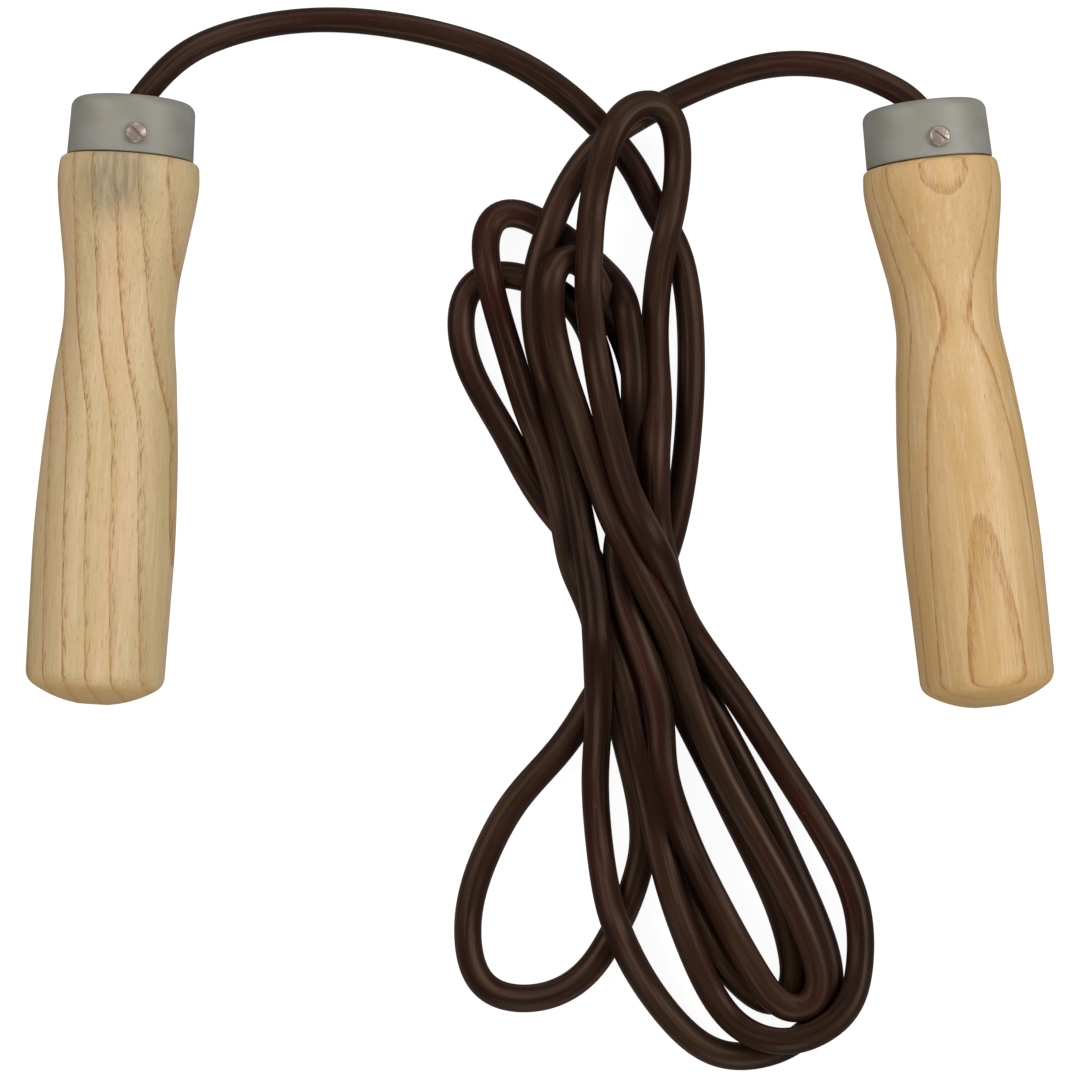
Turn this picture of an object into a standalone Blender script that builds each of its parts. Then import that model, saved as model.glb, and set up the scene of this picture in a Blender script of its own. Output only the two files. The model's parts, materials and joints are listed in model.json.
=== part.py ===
"""Leather jump rope: two turned wooden handles that spin on ball bearings, and one rope folded into a bundle.

Units are metres, +Z is up and the floor is z = 0. The handles lie along Y with their metal caps towards +Y.
Each handle is built in its own frame: its axis is local Z, the middle of its cap's top face is the origin,
and depths are measured from there into the handle.
"""

from math import atan2, ceil, cos, degrees, hypot, pi, radians, sin, sqrt

import bmesh
import bpy
import numpy as np
from mathutils import Matrix

# --- Driving dimensions ---

GAP = 0.0003  # between pieces that touch on the real rope

ROPE_DIAMETER = 0.0070

# One entry for each handle: where its cap's top face is, how far it leans towards +X,
# and the radius of its waist and of its two swellings, which differ because they are turned by hand.
HANDLES = {
    "left": {"cap_xy": (-0.1018, 0.0757), "lean": radians(3.7), "waist": 0.0139, "bulge": 0.0177},
    "right": {"cap_xy": (0.0961, 0.0745), "lean": radians(-6.2), "waist": 0.0130, "bulge": 0.0172},
}
SCREW_TURN = {"left": radians(9), "right": radians(5)}

HANDLE_LENGTH = 0.1515
CAP_HEIGHT = 0.0146
CAP_RADIUS = 0.0158
CAP_TOP_RADIUS = 0.0155
CAP_EDGE_ROUND = 0.0028
CAP_WALL = 0.0012
CAP_PLATE = 0.0014
CAP_HOLE_RADIUS = 0.0062

# How full the grip is at each depth: 0 is the waist's radius and 1 is the bulge's.
GRIP_STATIONS = (
    (0.0165, 0.93), (0.0206, 1.00), (0.0260, 0.88), (0.0320, 0.64), (0.0385, 0.37), (0.0446, 0.13),
    (0.0506, 0.03), (0.0560, 0.00), (0.0620, 0.14), (0.0685, 0.35), (0.0745, 0.49), (0.0836, 0.70),
    (0.0956, 0.88), (0.1106, 1.00), (0.1260, 0.96), (0.1450, 0.90),
)
SHOULDER_ROUND = 0.0016
BUTT_DEPTH = 0.1460  # where the domed butt starts
BUTT_FLAT_RADIUS = 0.0040
TENON_TOP, TENON_CHAMFER = 0.0022, 0.0018
RELIEF_RADIUS = 0.0089
RELIEF_DEPTH, DRILL_POINT = 0.0300, 0.0040

# A 608 size ball bearing: 8 mm bore, 22 mm outside, 7 mm wide.
BEARING_TOP = CAP_PLATE + GAP
BEARING_WIDTH = 0.0070
BORE_RADIUS = 0.0040
BORE_CHAMFER = 0.0005
INNER_RING_RADIUS = 0.0061
OUTER_RING_BORE = 0.0089
OUTER_RADIUS = 0.0110
BALL_COUNT = 7
BALL_RADIUS = 0.00198
PITCH_RADIUS = 0.0075
CAGE_HALF_HEIGHT = 0.0027
CAGE_INNER, CAGE_OUTER = 0.0070, 0.0080
SHIELD_TOP, SHIELD_THICKNESS = 0.0018, 0.00035

WASHER_RADIUS, WASHER_THICKNESS = 0.0056, 0.0012
CRIMP_RADIUS, CRIMP_LENGTH, CRIMP_CHAMFER = 0.0050, 0.0135, 0.0008
SQUEEZES = (0.35, 0.65)  # where the crimp is squeezed, as shares of its length
SQUEEZE_DEPTH, SQUEEZE_HALF_WIDTH = 0.0005, 0.0012

SCREW_DEPTH = 0.0099  # along the handle
SCREW_SHANK_RADIUS, SCREW_LENGTH, SCREW_TIP_CHAMFER = 0.0010, 0.0040, 0.0004
SCREW_HEAD_RADIUS, SCREW_HEAD_HEIGHT, SCREW_RIM_HEIGHT = 0.0026, 0.0011, 0.0004
SCREW_SLOT_WIDTH, SCREW_SLOT_DEPTH, SCREW_SLOT_TURN = 0.0007, 0.0005, radians(-40)

ROUND_STEPS = 28  # sides of the turned pieces
BEARING_STEPS = 24
SMALL_STEPS = 16
CUTTER_STEPS = 10
BALL_STEPS = 10
CUT_MARGIN = 0.001  # how far a cutter stands out of what it cuts

# The rope's route seen from above, from the left cap to the right one: x, y and how high the strand starts
# before it settles, in rope diameters, which says what it lies over.
ROUTE = (
    # out of the left cap, under the whole bundle
    (-0.0990, 0.0775, 0), (-0.0875, 0.0895, 0), (-0.0555, 0.0985, 0), (-0.0075, 0.0885, 0),
    (0.0215, 0.0650, 0), (0.0290, 0.0505, 0), (0.0355, 0.0385, 0), (0.0385, 0.0115, 0),
    (0.0320, -0.0385, 0),
    # first lower loop, the wide one on the left
    (0.0085, -0.0830, 1), (-0.0085, -0.1030, 1), (-0.0185, -0.1295, 1), (-0.0150, -0.1475, 1),
    (-0.0050, -0.1505, 1), (0.0045, -0.1490, 1), (0.0130, -0.1430, 1), (0.0225, -0.1255, 1),
    (0.0285, -0.1030, 1), (0.0205, -0.0770, 1), (0.0120, -0.0445, 1),
    # second upper loop
    (0.0090, -0.0365, 4), (0.0040, -0.0190, 4), (-0.0130, 0.0320, 6), (-0.0135, 0.0470, 6),
    (-0.0090, 0.0505, 6), (0.0100, 0.0390, 4), (0.0205, 0.0220, 4), (0.0255, -0.0040, 4),
    # fourth lower loop, the narrow one on top
    (0.0210, -0.0470, 4.5), (0.0300, -0.0780, 5), (0.0305, -0.0945, 5.5), (0.0485, -0.1335, 6.5),
    (0.0550, -0.1450, 6.5), (0.0590, -0.1510, 6.5), (0.0650, -0.1535, 6.5), (0.0705, -0.1510, 6.5),
    (0.0710, -0.1440, 6.5), (0.0655, -0.1290, 6.5), (0.0435, -0.0885, 6.5), (0.0290, -0.0495, 7),
    # fourth upper loop, inside the others
    (0.0155, -0.0220, 7), (0.0035, 0.0160, 7), (0.0015, 0.0290, 7), (0.0030, 0.0365, 7),
    (0.0080, 0.0390, 6.5), (0.0135, 0.0355, 5.5), (0.0185, 0.0260, 4), (0.0265, -0.0005, 3),
    (0.0220, -0.0470, 2),
    # fifth lower loop, hidden under the fourth
    (0.0300, -0.1000, 2), (0.0360, -0.1225, 2), (0.0385, -0.1290, 2), (0.0450, -0.1400, 2),
    (0.0545, -0.1495, 2), (0.0600, -0.1525, 2), (0.0645, -0.1490, 2), (0.0645, -0.1425, 2),
    (0.0605, -0.1265, 2), (0.0415, -0.0860, 3.5), (0.0370, -0.0780, 4), (0.0290, -0.0610, 4),
    (0.0160, 0.0090, 3), (0.0135, 0.0220, 3),
    # third upper loop, the one furthest left
    (0.0065, 0.0285, 3), (-0.0130, 0.0340, 3), (-0.0185, 0.0305, 3), (-0.0205, 0.0230, 3),
    (-0.0185, 0.0105, 3), (-0.0025, -0.0160, 3), (0.0130, -0.0440, 3), (0.0240, -0.0865, 3),
    # third lower loop, the one furthest right
    (0.0350, -0.1280, 3), (0.0495, -0.1570, 4), (0.0630, -0.1610, 4.5), (0.0700, -0.1575, 4.5),
    (0.0775, -0.1520, 3), (0.0805, -0.1275, 3), (0.0575, -0.0855, 4), (0.0540, -0.0800, 4.5),
    (0.0330, -0.0500, 6), (0.0305, -0.0430, 7),
    # first upper loop, the tallest one, over the rest
    (0.0210, -0.0225, 8), (0.0120, 0.0355, 8), (0.0165, 0.0645, 8), (0.0210, 0.0735, 8),
    (0.0280, 0.0770, 8), (0.0330, 0.0750, 8), (0.0350, 0.0595, 8), (0.0295, 0.0290, 6.5),
    (0.0280, -0.0260, 5.5), (0.0325, -0.0500, 3),
    # second lower loop, the lowest one
    (0.0420, -0.0745, 2.5), (0.0455, -0.0810, 2.5), (0.0740, -0.1480, 2), (0.0665, -0.1595, 2),
    (0.0545, -0.1645, 2), (0.0425, -0.1635, 2), (0.0210, -0.1365, 4), (0.0140, -0.0985, 5),
    (0.0155, -0.0735, 5.5), (0.0140, -0.0495, 6),
    # up the left side and over to the right cap
    (0.0055, -0.0120, 5.5), (0.0005, 0.0075, 5.5), (-0.0010, 0.0245, 5.5), (0.0110, 0.0615, 5.5),
    (0.0545, 0.0860, 5.5), (0.0775, 0.0845, 5.5), (0.0860, 0.0805, 3), (0.0920, 0.0770, 0),
)
INSIDE_DEPTHS = (0.0217, 0.0150, 0.0090, 0.0026)  # where the rope is on the handle's axis
LEAD_FALL = 0.060  # length over which a lead comes down from its handle to the floor

# How the rope settles: the strands are stacked by the route's third column, then fall and push apart.
ROPE_STEP = 0.0025  # between the points that settle
CLOSE = ROPE_DIAMETER + 0.0002  # nearest that two strands may come
STACKING = 0.8  # rope diameters of height for each step of the third column
SETTLE_ROUNDS = 260
FALL = 0.0005  # in each round
SIDEWAYS = 0.15  # share of a push that goes sideways
LONGEST_SHIFT = 0.0003  # sideways, in each push
HOLD = 0.9  # share of its sideways shift that a strand keeps each round
TINY = 1e-9

# How far the tube's straight runs may leave the settled line: near the handles, and everywhere else.
NEAR_HANDLE = 0.035
NEAR_TOLERANCE, TOLERANCE = 0.00025, 0.0023


# --- Materials ---

def material(name, colour, roughness, metallic=0.0):
    made = bpy.data.materials.new(name)
    made.use_nodes = True
    shader = made.node_tree.nodes["Principled BSDF"]
    shader.inputs["Base Color"].default_value = (*colour, 1)
    shader.inputs["Roughness"].default_value = roughness
    shader.inputs["Metallic"].default_value = metallic
    made.diffuse_color = (*colour, 1)
    return made


def make_materials():
    return {
        "leather": material("leather", (0.045, 0.018, 0.011), 0.5),
        "ash": material("ash", (0.58, 0.42, 0.25), 0.55),
        "cap_metal": material("cap_metal", (0.32, 0.32, 0.28), 0.45, 1.0),
        "screw_steel": material("screw_steel", (0.55, 0.48, 0.43), 0.3, 1.0),
        "bearing_steel": material("bearing_steel", (0.55, 0.56, 0.58), 0.2, 1.0),
        "crimp_steel": material("crimp_steel", (0.42, 0.40, 0.37), 0.4, 1.0),
    }


# --- Mesh helpers ---

def mesh_object(name, mesh, surface, parent):
    mesh.materials.append(surface)
    mesh.shade_smooth()
    mesh.set_sharp_from_angle(angle=radians(35))
    made = bpy.data.objects.new(name, mesh)
    made.parent = parent
    bpy.context.scene.collection.objects.link(made)
    return made


def finished(shape, name):
    """The bmesh written to a new mesh and freed."""
    mesh = bpy.data.meshes.new(name)
    shape.to_mesh(mesh)
    shape.free()
    return mesh


def turned(name, outline, steps=ROUND_STEPS):
    """A closed outline of (radius, height) points turned all the way round local Z."""
    shape = bmesh.new()
    points = [shape.verts.new((radius, 0, height)) for radius, height in outline]
    edges = [shape.edges.new((point, points[i - 1])) for i, point in enumerate(points)]
    bmesh.ops.spin(
        shape, geom=points + edges, cent=(0, 0, 0), axis=(0, 0, 1), angle=2 * pi, steps=steps,
        use_merge=True,
    )
    bmesh.ops.remove_doubles(shape, verts=shape.verts, dist=1e-6)
    on_axis = [edge for edge in shape.edges if not edge.link_faces]
    bmesh.ops.delete(shape, geom=on_axis, context="EDGES")
    bmesh.ops.recalc_face_normals(shape, faces=shape.faces)
    return finished(shape, name)


def arc(centre, radius, start, end, steps):
    """Points of a circular arc in the (radius, height) plane, from one angle to another, in degrees."""
    angles = [radians(start + (end - start) * i / steps) for i in range(steps + 1)]
    return [(centre[0] + radius * cos(a), centre[1] + radius * sin(a)) for a in angles]


def radial_cylinder(name, radius, inner, outer, height, turn):
    """A cutter whose axis crosses the handle's axis at this height, from one radius out to another."""
    middle = Matrix.Translation((0, -(inner + outer) / 2, height))
    stand = Matrix.Rotation(turn, 4, "Z") @ middle @ Matrix.Rotation(pi / 2, 4, "X")
    shape = bmesh.new()
    bmesh.ops.create_cone(
        shape, cap_ends=True, segments=CUTTER_STEPS, radius1=radius, radius2=radius,
        depth=outer - inner, matrix=stand,
    )
    return finished(shape, name)


def cut(target, name, mesh):
    cutter = bpy.data.objects.new(name, mesh)
    cutter.parent = target.parent
    cutter.hide_render = True
    cutter.display_type = "WIRE"
    bpy.context.scene.collection.objects.link(cutter)
    boolean = target.modifiers.new(name, "BOOLEAN")
    boolean.operation = "DIFFERENCE"
    boolean.object = cutter


# --- One handle's pieces, all in the handle's own frame ---

def grip_outline(waist, bulge):
    """The turned outside from the tenon to the domed butt, then back up the bored inside."""
    tenon_radius = CAP_TOP_RADIUS - CAP_WALL - GAP
    shoulder = CAP_HEIGHT + GAP
    stations = [(waist + (bulge - waist) * full, -depth) for depth, full in GRIP_STATIONS]
    top_radius, butt_radius = stations[0][0], stations[-1][0]
    points = [(OUTER_RADIUS + GAP, -TENON_TOP), (tenon_radius - TENON_CHAMFER, -TENON_TOP)]
    points += [(tenon_radius, -TENON_TOP - TENON_CHAMFER), (tenon_radius, -shoulder)]
    points += arc((top_radius - SHOULDER_ROUND, -shoulder - SHOULDER_ROUND), SHOULDER_ROUND, 90, 15, 3)
    points += stations
    # The butt's dome is centred on the axis and runs from the edge at BUTT_DEPTH to the small flat.
    squares = butt_radius**2 - BUTT_FLAT_RADIUS**2
    rise = HANDLE_LENGTH - BUTT_DEPTH
    centre = (HANDLE_LENGTH + BUTT_DEPTH - squares / rise) / 2
    start = atan2(BUTT_DEPTH - centre, butt_radius)
    end = atan2(HANDLE_LENGTH - centre, BUTT_FLAT_RADIUS)
    dome = hypot(HANDLE_LENGTH - centre, BUTT_FLAT_RADIUS)
    points += arc((0, -centre), dome, -degrees(start), -degrees(end), 5)
    points.append((0, -HANDLE_LENGTH))
    ledge = -(BEARING_TOP + BEARING_WIDTH + GAP)
    points += [(0, -RELIEF_DEPTH - DRILL_POINT), (RELIEF_RADIUS, -RELIEF_DEPTH)]
    points += [(RELIEF_RADIUS, ledge), (OUTER_RADIUS + GAP, ledge)]
    return points


def cap_outline():
    """A cup with a flared hole in its top plate and a wide rounded top edge."""
    points = arc((CAP_HOLE_RADIUS + CAP_PLATE, -CAP_PLATE), CAP_PLATE, 180, 90, 3)
    points += arc((CAP_TOP_RADIUS - CAP_EDGE_ROUND, -CAP_EDGE_ROUND), CAP_EDGE_ROUND, 90, 5, 4)
    inner, inner_top = CAP_RADIUS - CAP_WALL, CAP_TOP_RADIUS - CAP_WALL
    points += [(CAP_RADIUS, -CAP_HEIGHT), (inner, -CAP_HEIGHT)]
    inside_round = CAP_EDGE_ROUND - CAP_WALL
    points += arc((inner_top - inside_round, -CAP_PLATE - inside_round), inside_round, 5, 90, 3)
    return points


def ring_outline(inner, outer, groove_on_outside):
    """A bearing ring with the ball groove on one side."""
    top, bottom = -BEARING_TOP, -BEARING_TOP - BEARING_WIDTH
    middle = (top + bottom) / 2
    groove = BALL_RADIUS + GAP
    side = outer if groove_on_outside else inner
    half = sqrt(groove**2 - (side - PITCH_RADIUS) ** 2)
    spread = degrees(atan2(half, abs(side - PITCH_RADIUS)))
    if groove_on_outside:
        edge = BORE_CHAMFER
        points = [(inner + edge, bottom), (inner, bottom + edge), (inner, top - edge), (inner + edge, top)]
        groove_arc = arc((PITCH_RADIUS, middle), groove, 180 - spread, 180 + spread, 4)
        return points + [(outer, top)] + groove_arc + [(outer, bottom)]
    return [(outer, top), (outer, bottom), (inner, bottom)] + arc(
        (PITCH_RADIUS, middle), groove, -spread, spread, 4
    ) + [(inner, top)]


def screw_places(side):
    """The front screw faces up, the back one is opposite."""
    return (("front", SCREW_TURN[side]), ("back", SCREW_TURN[side] + pi))


def drill_for_screws(target, side, inner, outer):
    for place, turn in screw_places(side):
        name = f"hole_{place}_{target.name}"
        drill = radial_cylinder(name, SCREW_SHANK_RADIUS + GAP, inner, outer, -SCREW_DEPTH, turn)
        cut(target, name, drill)


def make_grip(side, axis, surfaces):
    size = HANDLES[side]
    mesh = turned(f"grip_{side}", grip_outline(size["waist"], size["bulge"]))
    grip = mesh_object(f"grip_{side}", mesh, surfaces["ash"], axis)
    hole_bottom = CAP_RADIUS - SCREW_LENGTH - GAP
    drill_for_screws(grip, side, hole_bottom, CAP_RADIUS)


def make_cap(side, axis, surfaces):
    mesh = turned(f"cap_{side}", cap_outline())
    cap = mesh_object(f"cap_{side}", mesh, surfaces["cap_metal"], axis)
    drill_for_screws(cap, side, CAP_RADIUS - CAP_WALL - CUT_MARGIN, CAP_RADIUS + CUT_MARGIN)


def screw_outline():
    """A shank with a blunt tip at height 0, under a pan head."""
    shank, head = SCREW_SHANK_RADIUS, SCREW_HEAD_RADIUS
    rim = SCREW_LENGTH + SCREW_RIM_HEIGHT
    crown = SCREW_HEAD_HEIGHT - SCREW_RIM_HEIGHT
    points = [(0, 0), (shank - SCREW_TIP_CHAMFER, 0), (shank, SCREW_TIP_CHAMFER)]
    points += [(shank, SCREW_LENGTH), (head, SCREW_LENGTH)]
    turns = [radians(angle) for angle in (0, 30, 60, 90)]
    return points + [(head * cos(turn), rim + crown * sin(turn)) for turn in turns]


def make_screws(side, axis, surfaces):
    """Slotted screws through the cap's wall into the grip, with their heads on the cap."""
    tip = CAP_RADIUS + GAP - SCREW_LENGTH
    head_top = Matrix.Translation((0, 0, SCREW_LENGTH + SCREW_HEAD_HEIGHT))
    slot_size = Matrix.Diagonal((3 * SCREW_HEAD_RADIUS, SCREW_SLOT_WIDTH, 2 * SCREW_SLOT_DEPTH, 1))
    slot_place = head_top @ Matrix.Rotation(SCREW_SLOT_TURN, 4, "Z") @ slot_size
    for place, turn in screw_places(side):
        name = f"screw_{place}_{side}"
        outwards = Matrix.Translation((0, -tip, -SCREW_DEPTH)) @ Matrix.Rotation(pi / 2, 4, "X")
        stand = Matrix.Rotation(turn, 4, "Z") @ outwards
        mesh = turned(name, screw_outline(), SMALL_STEPS)
        mesh.transform(stand)
        screw = mesh_object(name, mesh, surfaces["screw_steel"], axis)
        slot = bmesh.new()
        bmesh.ops.create_cube(slot, size=1, matrix=stand @ slot_place)
        cut(screw, f"slot_{place}_{side}", finished(slot, f"slot_{place}_{side}"))


def make_bearing(side, axis, surfaces):
    steel = surfaces["bearing_steel"]
    outer = ring_outline(OUTER_RING_BORE, OUTER_RADIUS, False)
    inner = ring_outline(BORE_RADIUS, INNER_RING_RADIUS, True)
    top, bottom = -SHIELD_TOP, -SHIELD_TOP - SHIELD_THICKNESS
    shield = [(INNER_RING_RADIUS + GAP, top), (OUTER_RING_BORE - GAP, top)]
    shield += [(OUTER_RING_BORE - GAP, bottom), (INNER_RING_RADIUS + GAP, bottom)]
    for piece, outline in (("outer_ring", outer), ("inner_ring", inner), ("shield", shield)):
        name = f"bearing_{piece}_{side}"
        mesh_object(name, turned(name, outline, BEARING_STEPS), steel, axis)


def make_balls(side, axis, surfaces):
    """The cage, a band with a round pocket for each ball, and the balls."""
    steel = surfaces["bearing_steel"]
    middle = -BEARING_TOP - BEARING_WIDTH / 2
    top, bottom = middle + CAGE_HALF_HEIGHT, middle - CAGE_HALF_HEIGHT
    band = [(CAGE_INNER, top), (CAGE_OUTER, top), (CAGE_OUTER, bottom), (CAGE_INNER, bottom)]
    cage_mesh = turned(f"bearing_cage_{side}", band, BEARING_STEPS)
    cage = mesh_object(f"bearing_cage_{side}", cage_mesh, steel, axis)
    inner, outer = CAGE_INNER - CUT_MARGIN, CAGE_OUTER + CUT_MARGIN
    for number in range(1, BALL_COUNT + 1):
        turn = 2 * pi * (number - 1) / BALL_COUNT
        pocket = f"pocket_{number}_{side}"
        cut(cage, pocket, radial_cylinder(pocket, BALL_RADIUS + GAP, inner, outer, middle, turn))
        shape = bmesh.new()
        bmesh.ops.create_uvsphere(
            shape, u_segments=BALL_STEPS, v_segments=BALL_STEPS // 2 + 1, radius=BALL_RADIUS
        )
        name = f"bearing_ball_{number}_{side}"
        ball = mesh_object(name, finished(shape, name), steel, axis)
        ball.location = (PITCH_RADIUS * sin(turn), -PITCH_RADIUS * cos(turn), middle)


def make_rope_stop(side, axis, surfaces):
    """The washer that bears on the inner ring, and the cup crimped on the rope's end."""
    hole = ROPE_DIAMETER / 2 + GAP
    top = -(BEARING_TOP + BEARING_WIDTH + GAP)
    bottom = top - WASHER_THICKNESS
    washer = [(hole, top), (WASHER_RADIUS, top), (WASHER_RADIUS, bottom), (hole, bottom)]
    mouth = bottom - GAP
    end = mouth - CRIMP_LENGTH
    floor = -INSIDE_DEPTHS[0] - GAP
    cup = [(hole, mouth), (CRIMP_RADIUS, mouth)]
    for share in SQUEEZES:
        middle = mouth - CRIMP_LENGTH * share
        cup += [(CRIMP_RADIUS, middle + SQUEEZE_HALF_WIDTH), (CRIMP_RADIUS - SQUEEZE_DEPTH, middle)]
        cup += [(CRIMP_RADIUS, middle - SQUEEZE_HALF_WIDTH)]
    cup += [(CRIMP_RADIUS, end + CRIMP_CHAMFER), (CRIMP_RADIUS - CRIMP_CHAMFER, end)]
    cup += [(0, end), (0, floor), (hole, floor)]
    for name, outline in ((f"stop_washer_{side}", washer), (f"rope_crimp_{side}", cup)):
        mesh_object(name, turned(name, outline, SMALL_STEPS), surfaces["crimp_steel"], axis)


def make_handle(side, surfaces):
    size = HANDLES[side]
    axis = bpy.data.objects.new(f"handle_axis_{side}", None)
    axis.location = (*size["cap_xy"], size["bulge"])
    axis.rotation_euler = (-pi / 2, 0, -size["lean"])
    bpy.context.scene.collection.objects.link(axis)
    for make in (make_grip, make_cap, make_screws, make_bearing, make_balls, make_rope_stop):
        make(side, axis, surfaces)


# --- The rope ---

def on_handle_axis(side, depth):
    """The point of a handle's axis this deep below its cap's top face."""
    size = HANDLES[side]
    x, y = size["cap_xy"]
    return (x - depth * sin(size["lean"]), y - depth * cos(size["lean"]), 0)


def route_points():
    start = [on_handle_axis("left", depth) for depth in INSIDE_DEPTHS]
    end = [on_handle_axis("right", depth) for depth in reversed(INSIDE_DEPTHS)]
    return np.array(start + list(ROUTE) + end)


def smooth_curve(points, step):
    """Points every step along the centripetal Catmull-Rom curve through these points, measured in plan."""
    padded = np.vstack([2 * points[0] - points[1], points, 2 * points[-1] - points[-2]])
    pieces = []
    for before, start, end, after in zip(padded, padded[1:], padded[2:], padded[3:]):
        knots = [0.0]
        for a, b in ((before, start), (start, end), (end, after)):
            knots.append(knots[-1] + sqrt(np.linalg.norm(b[:2] - a[:2])))
        t0, t1, t2, t3 = knots
        t = np.linspace(t1, t2, 24, endpoint=False)[:, None]
        a1 = ((t1 - t) * before + (t - t0) * start) / (t1 - t0)
        a2 = ((t2 - t) * start + (t - t1) * end) / (t2 - t1)
        a3 = ((t3 - t) * end + (t - t2) * after) / (t3 - t2)
        b1 = ((t2 - t) * a1 + (t - t0) * a2) / (t2 - t0)
        b2 = ((t3 - t) * a2 + (t - t1) * a3) / (t3 - t1)
        pieces.append(((t2 - t) * b1 + (t - t1) * b2) / (t2 - t1))
    curve = np.vstack(pieces + [points[-1:]])
    along = np.concatenate([[0], np.cumsum(np.linalg.norm(np.diff(curve[:, :2], axis=0), axis=1))])
    even = np.linspace(0, along[-1], ceil(along[-1] / step) + 1)
    return np.column_stack([np.interp(even, along, column) for column in curve.T])


def softened(values, fixed, times):
    """Each value moved towards the middle of its neighbours, the fixed ones left alone."""
    for _ in range(times):
        moved = values.copy()
        moved[1:-1] = 0.5 * values[1:-1] + 0.25 * (values[:-2] + values[2:])
        values = np.where(fixed, values, moved)
    return values


def lead_heights(along):
    """How high the rope's middle may lie at the least: on the floor, but on a handle's axis at either end."""
    floor = ROPE_DIAMETER / 2
    heights = np.full(len(along), floor)
    for side, distance in (("left", along), ("right", along[-1] - along)):
        share = np.clip((distance - INSIDE_DEPTHS[0]) / LEAD_FALL, 0, 1)
        curve = (1 - share) ** 2 * (1 + 2 * share)
        heights = np.maximum(heights, floor + (HANDLES[side]["bulge"] - floor) * curve)
    return heights


def pushed_apart(place, height, first, second):
    """How the strands of each pair move until they are CLOSE apart: mostly up and down, a little sideways."""
    across = place[first] - place[second]
    distance = np.linalg.norm(across, axis=1)
    above = height[first] >= height[second]
    needed = np.sqrt(np.maximum(CLOSE**2 - distance**2, 0))
    lack = np.maximum(needed - np.abs(height[first] - height[second]), 0)
    up, down = np.zeros(len(height)), np.zeros(len(height))
    np.maximum.at(up, np.where(above, first, second), lack / 2)
    np.maximum.at(down, np.where(above, second, first), lack / 2)
    push = across * (lack * SIDEWAYS / (distance + TINY))[:, None]
    shift = np.zeros_like(place)
    np.add.at(shift, first, push)
    np.add.at(shift, second, -push)
    return up - down, shift


def settled_rope():
    """The rope's centre line, lying on the floor and on itself.

    The strands start stacked in the order that the route gives, fall a little each round, and are pushed
    apart where they come closer than CLOSE. A strand moves sideways only across its own direction.
    """
    path = smooth_curve(route_points(), ROPE_STEP)
    along = np.arange(len(path)) * ROPE_STEP
    held = np.minimum(along, along[-1] - along) < INSIDE_DEPTHS[0] + 3 * ROPE_STEP
    lowest = lead_heights(along)
    plan = softened(path[:, :2], held[:, None], 6)
    heading = np.gradient(plan, axis=0)
    heading /= np.linalg.norm(heading, axis=1)[:, None]
    place = plan
    height = np.where(held, lowest, lowest.min() + STACKING * ROPE_DIAMETER * path[:, 2])
    apart = int(2 * ROPE_DIAMETER / ROPE_STEP) + 1
    for turn in range(SETTLE_ROUNDS):
        if turn % 5 == 0:
            gaps = np.linalg.norm(place[:, None] - place[None], axis=2)
            first, second = np.nonzero(np.triu(gaps < CLOSE + 0.0002, apart))
        fall = FALL if turn < 0.7 * SETTLE_ROUNDS else FALL / 4
        height = np.where(held, lowest, np.maximum(height - fall, lowest))
        for _ in range(4):
            climb, shift = pushed_apart(place, height, first, second)
            height = np.where(held, lowest, np.maximum(height + climb, lowest))
            shift -= heading * (shift * heading).sum(axis=1)[:, None]
            length = np.linalg.norm(shift, axis=1) + TINY
            shift *= np.minimum(1, LONGEST_SHIFT / length)[:, None]
            place = np.where(held[:, None], place, place + shift)
        height = np.maximum(softened(height, held, 3), lowest)
        place = plan + softened(place - plan, held[:, None], 4) * HOLD
    return np.column_stack([place, height])


def thinned(line, tolerance):
    """The fewest points of the line that stay this near to it, by splitting it where it bows out the most."""
    start, end = line[0], line[-1]
    chord = (end - start) / np.linalg.norm(end - start)
    away = line - start
    bow = np.linalg.norm(away - np.outer(away @ chord, chord), axis=1)
    worst = int(bow.argmax())
    if bow[worst] < tolerance:
        return [start, end]
    return thinned(line[: worst + 1], tolerance)[:-1] + thinned(line[worst:], tolerance)


def tube_points(line):
    """Few enough points for the tube, closest together in the bends and where it passes through a bearing."""
    near = int(NEAR_HANDLE / ROPE_STEP)
    start = thinned(line[: near + 1], NEAR_TOLERANCE)
    middle = thinned(line[near:-near], TOLERANCE)
    end = thinned(line[-near - 1 :], NEAR_TOLERANCE)
    return start + middle[1:] + end[1:]


def make_rope(surfaces):
    points = tube_points(settled_rope())
    curve = bpy.data.curves.new("rope", "CURVE")
    curve.dimensions = "3D"
    spline = curve.splines.new("POLY")
    spline.points.add(len(points) - 1)
    for target, point in zip(spline.points, points):
        target.co = (*point, 1)
    curve.bevel_depth = ROPE_DIAMETER / 2
    curve.bevel_resolution = 2
    curve.use_fill_caps = True
    curve.materials.append(surfaces["leather"])
    bpy.context.scene.collection.objects.link(bpy.data.objects.new("rope", curve))


def main():
    for thing in list(bpy.data.objects):
        bpy.data.objects.remove(thing, do_unlink=True)
    surfaces = make_materials()
    for side in HANDLES:
        make_handle(side, surfaces)
    make_rope(surfaces)


main()
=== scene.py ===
"""The looks of the leather jump rope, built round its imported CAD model.

Units are metres, +Z is up and the floor is z = 0. Each handle's pieces are made in the handle's own
frame, as in the CAD: local Z runs out of the cap along the handle's axis, local -Y is up, and the origin
is the middle of the cap's top face. Their materials read those local coordinates from an attribute, so
the grain turns with the handle.
"""

import json
from math import ceil, cos, pi, radians, sin, sqrt

import bmesh
import bpy
import numpy as np
from mathutils import Matrix, Vector


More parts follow.
